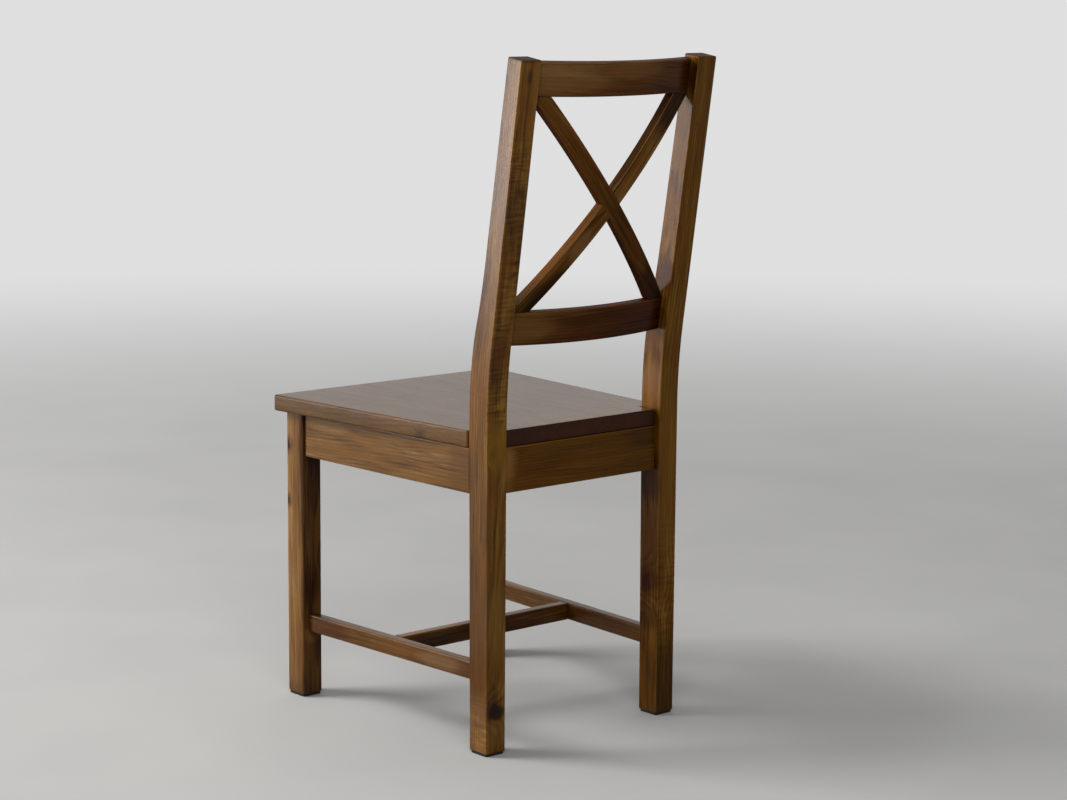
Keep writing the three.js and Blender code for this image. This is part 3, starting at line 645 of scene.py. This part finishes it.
left_leg_low, left_leg_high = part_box("left_front_leg")
leg_inner = left_leg_low.x
leg_rear = left_leg_high.y
leg_tones = ["#241004", "#4e3010", "#6e4a22", "#947248", "#7a501e"]
legs = {
    "left": {
        "seed": 8.0,
        "knots": [((0.385, LEG_FACE, -0.016), 0.006, 1), ((0.3, LEG_FACE, -LEG_FACE), 0.0045, 1)],
        # the rear face is painted darker as shade under the seat, and the outer face lighter as painted
        # light
        "faces": [(2, LEG_FACE, -0.15, 0.0), (1, LEG_FACE, 0.08, 0.0)],
        "patches": [
            # the two dark patches on the rear face are painted shade under the seat
            ((0.38, 0.0, LEG_FACE), (0.09, 0.03, 0.006), "#260602", 0.7),
            ((0.17, 0.0, LEG_FACE), (0.05, 0.03, 0.006), "#2c0802", 0.6),
            ((0.095, 0.0, LEG_FACE), (0.018, 0.03, 0.006), "#96642e", 0.45),
            ((0.0, LEG_FACE, 0.0), (0.17, 0.008, 0.03), "#5a3212", 0.45),
            ((0.0, LEG_FACE, 0.0), (0.03, 0.006, 0.03), "#442812", 0.5)],
    },
    "right": {
        "seed": 9.0,
        "knots": [((0.27, 0.004, -LEG_FACE), 0.006, 2), ((0.12, -LEG_FACE, 0.002), 0.005, 1)],
    },
}
for side in ("left", "right"):
    low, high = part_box(f"{side}_front_leg")
    stick = plank(low, high)
    ease(stick, stick.edges[:], LEG_EASE)
    score(stick, 2, steps(low.z, high.z, 0.03))
    mark_grain(stick, 2, ((low.x + high.x) / 2, (low.y + high.y) / 2, 0.0))
    # the drift darkens both legs towards their rear faces: painted shade under the seat
    pine = stained_pine(
        f"{side}_front_leg_pine", leg_tones, (0.06, 0.02), **legs[side], tilt=(0.02, 0.04),
        figure=0.6, drift=(0.0, 0.0, -8.0))
    dress(stick, f"{side}_front_leg", pine)

# ---------------------------------------------------------------- aprons
# Four pine boards under the seat, tenoned into the legs. The side aprons narrow with the seat, and
# their outer faces stand just inside those of the legs and posts.
APRON_THICKNESS = 0.02
APRON_SETBACK = 0.001            # a side apron's rear end, inside the post's outer face

apron_low, apron_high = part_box("rear_apron")
front_y = leg_rear + JOINT


def side_board(node, sign, thickness, low_z, high_z, rear_y, rear_outer):
    """A board that runs to the rear between the legs of one side, and narrows with the seat."""
    front_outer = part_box(node)[1 if sign == 1 else 0].x
    faces = sorted((0.0, -sign * thickness))
    board = plank((faces[0], front_y, low_z), (faces[1], rear_y, high_z))
    ease(board, board.edges[:], BOARD_EASE)
    score(board, 1, steps(front_y, rear_y, 0.03))
    mark_grain(board, 1, (0.0, 0.0, (low_z + high_z) / 2))
    for vertex in board.verts:
        to_rear = (vertex.co.y - front_y) / (rear_y - front_y)
        vertex.co.x += front_outer + (sign * rear_outer - front_outer) * to_rear
    return board


def cross_board(end, low, high):
    """A board that runs straight from side to side, as deep and high as a CAD box."""
    board = plank((-end, low.y, low.z), (end, high.y, high.z))
    ease(board, board.edges[:], BOARD_EASE)
    score(board, 0, steps(-end, end, 0.03))
    mark_grain(board, 0, (0.0, (low.y + high.y) / 2, (low.z + high.z) / 2))
    return board


apron_rear = front_face((apron_low.z + apron_high.z) / 2) - JOINT
apron_tones = ["#281405", "#4e3212", "#6e4c24", "#927048", "#78501f"]
side_patches = [
    ((0.145, 0.0, 0.0), (0.05, 0.03, 0.06), "#4a2c12", 0.4),
    ((-0.16, 0.0, 0.02), (0.06, 0.03, 0.012), "#a8804c", 0.3)]
for side, sign in (("left", 1), ("right", -1)):
    node = f"{side}_side_apron"
    board = side_board(
        node, sign, APRON_THICKNESS, apron_low.z, apron_high.z, apron_rear, post_high.x - APRON_SETBACK)
    # the drift darkens the side aprons towards their tops: painted shade under the seat's edge
    pine = stained_pine(
        f"{node}_pine", apron_tones, (-0.02 * sign, 0.07), 10.0 + sign, tilt=(0.03, 0.02), honey=0.55,
        figure=0.6, drift=(0.0, 0.0, -1.0), wear_and_highlight=0.7, patches=side_patches)
    dress(board, node, pine)

rear_tones = ["#180b01", "#402604", "#603c0a", "#7e521c", "#643a04"]
rear_patches = [
    # dark at the top of the right end: painted shadow of the seat
    ((-0.13, 0.0, 0.024), (0.06, 0.03, 0.03), "#221004", 0.45),
    ((0.15, 0.0, 0.004), (0.04, 0.03, 0.06), "#a8763c", 0.6)]
for name, inner_face, tones, seed, patches in (
        ("front_apron", leg_inner, apron_tones, 12.0, ()),
        ("rear_apron", post_inner, rear_tones, 13.0, rear_patches)):
    board = cross_board(inner_face - JOINT, *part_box(name))
    pine = stained_pine(
        f"{name}_pine", tones, (0.02, -0.06), seed, tilt=(0.02, 0.03), honey=0.4, figure=0.46,
        shine=0.08, wear_and_highlight=0.5, patches=patches)
    dress(board, name, pine)

# ---------------------------------------------------------------- stretchers
# Slim pine rails low between the legs of each side, tenoned into them. A cross rail is tenoned
# between the two at their middle and ties the sides together.
STRETCHER_THICKNESS = 0.017
STRETCHER_SETBACK = 0.01         # a stretcher's rear end, inside the post's outer face

cross_low, cross_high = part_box("cross_stretcher")
stretcher_rear = front_face((cross_low.z + cross_high.z) / 2) - JOINT
rear_outer = post_high.x - STRETCHER_SETBACK
stretcher_tones = ["#200d02", "#42270c", "#5b3c19", "#7e5c34", "#663e12"]
stretcher_patches = {
    "left": [
        ((0.08, 0.0, 0.0), (0.07, 0.03, 0.012), "#8c6c50", 0.35),
        ((-0.17, 0.0, 0.0), (0.06, 0.03, 0.03), "#40200c", 0.6),
        # dark on the top at the front end: painted shadow of the leg
        ((-0.2, 0.0, 0.013), (0.05, 0.03, 0.006), "#200c04", 0.7),
        ((0.15, 0.0, -0.004), (0.045, 0.03, 0.018), "#442a12", 0.5)],
    # the far stretcher, under the seat, is painted darker as shade
    "right": [((0.06, 0.0, 0.0), (0.2, 0.03, 0.03), "#4a2008", 0.5)],
}
for side, sign in (("left", 1), ("right", -1)):
    node = f"{side}_stretcher"
    board = side_board(
        node, sign, STRETCHER_THICKNESS, cross_low.z, cross_high.z, stretcher_rear, rear_outer)
    pine = stained_pine(
        f"{node}_pine", stretcher_tones, (0.03, 0.04), 15.0 + sign, tilt=(0.02, 0.03), figure=0.62,
        patches=stretcher_patches[side])
    dress(board, node, pine)

front_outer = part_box("left_stretcher")[1].x
to_rear = ((cross_low.y + cross_high.y) / 2 - front_y) / (stretcher_rear - front_y)
cross_end = front_outer + (rear_outer - front_outer) * to_rear - STRETCHER_THICKNESS - JOINT
cross_tones = ["#140801", "#361d05", "#52320c", "#6e4c20", "#5a2a08"]
board = cross_board(cross_end, cross_low, cross_high)
pine = stained_pine(
    "cross_stretcher_pine", cross_tones, (0.03, 0.04), 18.0, tilt=(0.02, 0.02), honey=0.4,
    # the top face is painted lighter as a sheen, and the left part darker as shade
    faces=[(2, (cross_high.z - cross_low.z) / 2, 0.45, 0.0)],
    patches=[((0.11, 0.0, -0.004), (0.08, 0.03, 0.018), "#140602", 0.7)])
dress(board, "cross_stretcher", pine)

# ---------------------------------------------------------------- corner blocks, screws and pads
# Raw pine blocks brace each corner under the seat, each held by three zinc screws. Felt pads
# under the feet keep them off the floor.
raw = Finish(bpy.data.materials.new("raw_block_pine"))
place = raw.node("ShaderNodeTexCoord", None, None, "Object")
streak = raw.noise(place, (0.06, 0.004, 0.002), 3.0, 0.6)
fuzz = raw.noise(place, (0.01, 0.0006, 0.0006), 2.0, 0.6)
stops = [(0.25, shade("#7d5a36")), (0.5, shade("#a57f52")), (0.75, shade("#c09c6c"))]
colour = raw.node("ShaderNodeValToRGB", {"stops": stops}, {"Fac": streak * 0.8 + fuzz * 0.2})
bump = raw.node("ShaderNodeBump", None, {"Strength": 0.4, "Distance": 0.0003, "Height": streak + fuzz})
raw.feed(raw.coat, {"Base Color": colour, "Roughness": 0.62 + fuzz * 0.2, "Normal": bump})

zinc = Finish(bpy.data.materials.new("zinc_screw_steel"))
place = zinc.node("ShaderNodeTexCoord", None, None, "Object")
cloud = zinc.noise(place, (0.002, 0.002, 0.002), 3.0, 0.6)
stops = [(0.3, shade("#8f8c84")), (0.7, shade("#c9c5bb"))]
colour = zinc.node("ShaderNodeValToRGB", {"stops": stops}, {"Fac": cloud})
bump = zinc.node("ShaderNodeBump", None, {"Strength": 0.3, "Distance": 0.0001, "Height": cloud})
zinc.feed(zinc.coat, {
    "Base Color": colour, "Metallic": 1.0, "Roughness": 0.25 + cloud * 0.25, "Normal": bump})

felt = Finish(bpy.data.materials.new("dark_pad_felt"))
place = felt.node("ShaderNodeTexCoord", None, None, "Object")
tuft = felt.noise(place, (0.0007, 0.0007, 0.0007), 3.0, 0.7)
stops = [(0.3, shade("#100d0b")), (0.7, shade("#2b2520"))]
colour = felt.node("ShaderNodeValToRGB", {"stops": stops}, {"Fac": tuft})
bump = felt.node("ShaderNodeBump", None, {"Strength": 0.8, "Distance": 0.0005, "Height": tuft})
felt.feed(felt.coat, {"Base Color": colour, "Roughness": 0.95, "Normal": bump})

for side in ("left", "right"):
    for end in ("front", "rear"):
        kept = {f"{side}_{end}_corner_block": raw.owner, f"{side}_{end}_foot_pad": felt.owner}
        kept.update({f"{side}_{end}_{kind}_screw": zinc.owner for kind in ("side", "apron", "seat")})
        for node, material in kept.items():
            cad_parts[node].material_slots[0].material = material

# ---------------------------------------------------------------- seat
# Five pine boards glued edge to edge, running from front to back. The outer two narrow to the rear
# and are notched round the posts, and all outer arrises are rounded over.
SEAT_EASE = 0.0028
CORNER_RADIUS = 0.005
POST_PLAY = 0.0012               # shadow line round the posts
SIDE_OVERHANG = 0.0015           # the outer boards beyond the posts' outer faces
SEAM_CLOSING = 0.0001            # the glued edges come nearer by this, and show as fine lines
SEAT_TOP = 0.46
ALL_OVER = 9.0                   # reach of a patch that doesn't end on the board


def climb(edge):
    return abs(edge.verts[0].co.z - edge.verts[1].co.z)


def glued(edge, seams):
    """Whether an edge lies along a seam."""
    return any(all(abs(vertex.co.x - seam) < 1e-6 for vertex in edge.verts) for seam in seams)


seat_tones = ["#1c0c02", "#482c0e", "#62421a", "#7c5a2c", "#68420f"]
board_knots = {
    "left_outer": [((0.057, 0.19, 0.4425), 0.0045, 1)],
    "left_inner": [((-0.135, 0.071, SEAT_TOP), 0.004, 2)],
    "centre": [((-0.04, -0.02, SEAT_TOP), 0.003, 2)],
    "right_inner": [((-0.212, -0.062, SEAT_TOP), 0.004, 2), ((0.12, -0.09, SEAT_TOP), 0.003, 2)],
    "right_outer": [((-0.145, -0.18, SEAT_TOP), 0.005, 2)],
}
for i, (name, knots) in enumerate(board_knots.items()):
    node = f"seat_board_{name}"
    low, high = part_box(node)
    if name.endswith("outer"):
        sign = 1 if name.startswith("left") else -1
        inner = (low.x if sign == 1 else -high.x) - SEAM_CLOSING
        outer = high.x if sign == 1 else -low.x
        notch = (post_inner - POST_PLAY, post_front - POST_PLAY)
        corners = [
            (inner, low.y), (outer, low.y), (post_high.x + SIDE_OVERHANG, notch[1]), notch,
            (notch[0], high.y), (inner, high.y)]
        corners = [(sign * x, y) for x, y in corners]
        seams = [sign * inner]
    else:
        seams = [low.x - SEAM_CLOSING, high.x + SEAM_CLOSING]
        corners = [(seams[0], low.y), (seams[1], low.y), (seams[1], high.y), (seams[0], high.y)]
    board = new_wood()
    outline = [board.verts.new((x, y, low.z)) for x, y in corners]
    under = board.faces.new(outline)
    raised = bmesh.ops.extrude_face_region(board, geom=[under])["geom"]
    upper = [part for part in raised if isinstance(part, bmesh.types.BMVert)]
    bmesh.ops.translate(board, vec=(0.0, 0.0, high.z - low.z), verts=upper)
    if name.endswith("outer"):
        for spot, radius in ((corners[1], CORNER_RADIUS), (corners[2], SEAT_EASE)):
            upright = [edge for edge in board.edges if climb(edge) > 0.01]
            corner = [edge for edge in upright if (edge.verts[0].co.xy - Vector(spot)).length < 1e-5]
            ease(board, corner, radius, 4)
    level = [edge for edge in board.edges if climb(edge) < 1e-6]
    ease(board, [edge for edge in level if not glued(edge, seams)], SEAT_EASE)
    score(board, 1, steps(low.y, high.y, 0.05))
    mark_grain(board, 1)
    # the stain is greyer on top, the edge faces carry a painted sheen that makes them paler, and the rear
    # end is dark where its end grain drank the stain
    stains_and_sheen = [
        ((0.0, 0.0, high.z), (ALL_OVER, ALL_OVER, 0.003), "#463622", 0.45),
        # a painted sheen round the edge faces
        ((0.0, 0.0, (low.z + high.z) / 2), (ALL_OVER, ALL_OVER, 0.012), "#64503c", 0.35),
        ((high.y + 0.001, 0.0, low.z), (0.004, ALL_OVER, ALL_OVER), "#1c0200", 0.85),
        ((high.y + 0.0042, 0.0, high.z - 0.012), (0.006, 0.4, 0.04), "#5c2a08", 0.45)]
    pith = ((low.x + high.x) / 2 + 0.02 * (i - 2), 0.40)
    pine = stained_pine(
        f"{node}_pine", seat_tones, pith, 20.0 + i, knots, (0.01, 0.02), honey=0.3, figure=0.6,
        drift=(0.3, 0.0, 0.0), matt=0.24, wear_and_highlight=0.0, patches=stains_and_sheen)
    dress(board, node, pine)

# ---------------------------------------------------------------- floor and surround
# A plain pale floor fades into a pale surround where the camera and the gloss see them. What lights
# the chair is a darker floor, and a surround that is brighter in front of the chair than behind it.
FLOOR_RADIUS = 14.0
BACKDROP = (0.74, 0.74, 0.745, 1.0)
DIM_SIDE = (0.13, 0.13, 0.13, 1.0)
BRIGHT_SIDE = (0.84, 0.85, 0.86, 1.0)

ground = bmesh.new()
bmesh.ops.create_circle(ground, cap_ends=True, segments=96, radius=FLOOR_RADIUS)
mesh = bpy.data.meshes.new("floor")
ground.to_mesh(mesh)
ground.free()
floor = bpy.data.objects.new("floor", mesh)
bpy.context.scene.collection.objects.link(floor)


def shown(finish):
    """1 where the surround is looked at, directly or in a gloss, and 0 where it lights the chair."""
    camera_ray, glossy_ray, clear_ray = [
        finish.node("ShaderNodeLightPath", None, None, f"Is {kind} Ray")
        for kind in ("Camera", "Glossy", "Transmission")]
    return finish.maths("MINIMUM", camera_ray + glossy_ray + clear_ray, 1.0)


paint = Finish(bpy.data.materials.new("pale_floor"))
place = paint.node("ShaderNodeTexCoord", None, None, "Object")
cloud = paint.noise(place, (0.35, 0.35, 0.35), 3.0, 0.5)
pale = paint.blend(cloud, shade("#adacaa"), shade("#bab9b6"))
colour = paint.blend(shown(paint), shade("#7c7b78"), pale)
paint.feed(paint.coat, {"Base Color": colour, "Roughness": 0.8, "Specular IOR Level": 0.0})
distance = paint.vector("LENGTH", place, output="Value")
toward_window = paint.vector("DOT_PRODUCT", place, (0.73, -0.68, 0.0), output="Value")
away = paint.maths("MAXIMUM", paint.rise(distance, 1.2, 6.0), paint.rise(toward_window, 1.0, 3.0))
glow = paint.node("ShaderNodeEmission", None, {"Color": BACKDROP, "Strength": 1.0})
surface = Signal(paint, paint.coat.outputs[0])
mixed = paint.node("ShaderNodeMixShader", None, {0: away * shown(paint), 1: surface, 2: glow})
output = paint.tree.nodes["Material Output"]
paint.feed(output, {"Surface": mixed})
mesh.materials.append(paint.owner)

sky = Finish(bpy.data.worlds.new("studio"))
bpy.context.scene.world = sky.owner
direction = sky.node("ShaderNodeTexCoord", None, None, "Generated")
toward_rear = sky.node("ShaderNodeSeparateXYZ", None, {0: direction}, "Y")
skyward = sky.node("ShaderNodeSeparateXYZ", None, {0: direction}, "Z")
around = sky.blend(sky.rise(toward_rear * -1, -0.5, 0.6), DIM_SIDE, BRIGHT_SIDE)
backdrop = sky.blend(sky.rise(skyward, 0.25, 0.7), BACKDROP, DIM_SIDE)
surround = sky.blend(shown(sky), around, backdrop)
sky.feed(sky.tree.nodes["Background"], {"Color": surround, "Strength": 1.0})

# ---------------------------------------------------------------- lamps
# A high lamp stands for a window ahead of the chair on the sitter's left, and a low one in the same
# direction gives the upright faces their sheen. A weaker one, behind it on that side, lights the back.


def soft_lamp(name, place, target, size, power):
    lamp = bpy.data.lights.new(name, "AREA")
    lamp.shape = "RECTANGLE"
    lamp.size = size[0]
    lamp.size_y = size[1]
    lamp.energy = power
    holder = bpy.data.objects.new(name, lamp)
    holder.location = place
    holder.rotation_euler = (Vector(target) - Vector(place)).to_track_quat("-Z", "Y").to_euler()
    bpy.context.scene.collection.objects.link(holder)


soft_lamp("window_lamp", (2.75, -2.58, 3.3), (0.0, 0.0, 0.5), (1.8, 1.8), 170.0)
soft_lamp("sheen_lamp", (3.72, -3.49, 0.62), (0.0, 0.0, 0.62), (1.2, 1.1), 79.0)
soft_lamp("side_lamp", (1.6, 2.2, 2.6), (0.0, 0.0, 0.5), (1.8, 1.8), 40.0)

# ---------------------------------------------------------------- camera
# Behind the chair and to the sitter's left, a little above the back. It has a long lens and looks
# slightly down.
EYE = Vector((2.418781, 2.871879, 1.089921))
HEADING = math.radians(-130.919)
PITCH = -0.165
ROLL = 0.008
SENSOR_WIDTH = 36.0
FOCAL_LENGTH = 87.18

along_floor = math.cos(PITCH)
sight = Vector((math.cos(HEADING) * along_floor, math.sin(HEADING) * along_floor, math.sin(PITCH)))
sideways = Vector((math.sin(HEADING), -math.cos(HEADING), 0.0))
upward = sideways.cross(sight)
frame_right = sideways * math.cos(ROLL) + upward * math.sin(ROLL)
frame_top = upward * math.cos(ROLL) - sideways * math.sin(ROLL)
lens = bpy.data.cameras.new("camera")
lens.sensor_width = SENSOR_WIDTH
lens.lens = FOCAL_LENGTH
camera = bpy.data.objects.new("camera", lens)
axes = Matrix((frame_right, frame_top, -sight)).transposed().to_4x4()
camera.matrix_world = Matrix.Translation(EYE) @ axes
bpy.context.scene.collection.objects.link(camera)
bpy.context.scene.camera = camera
bpy.context.scene.view_settings.view_transform = "Standard"
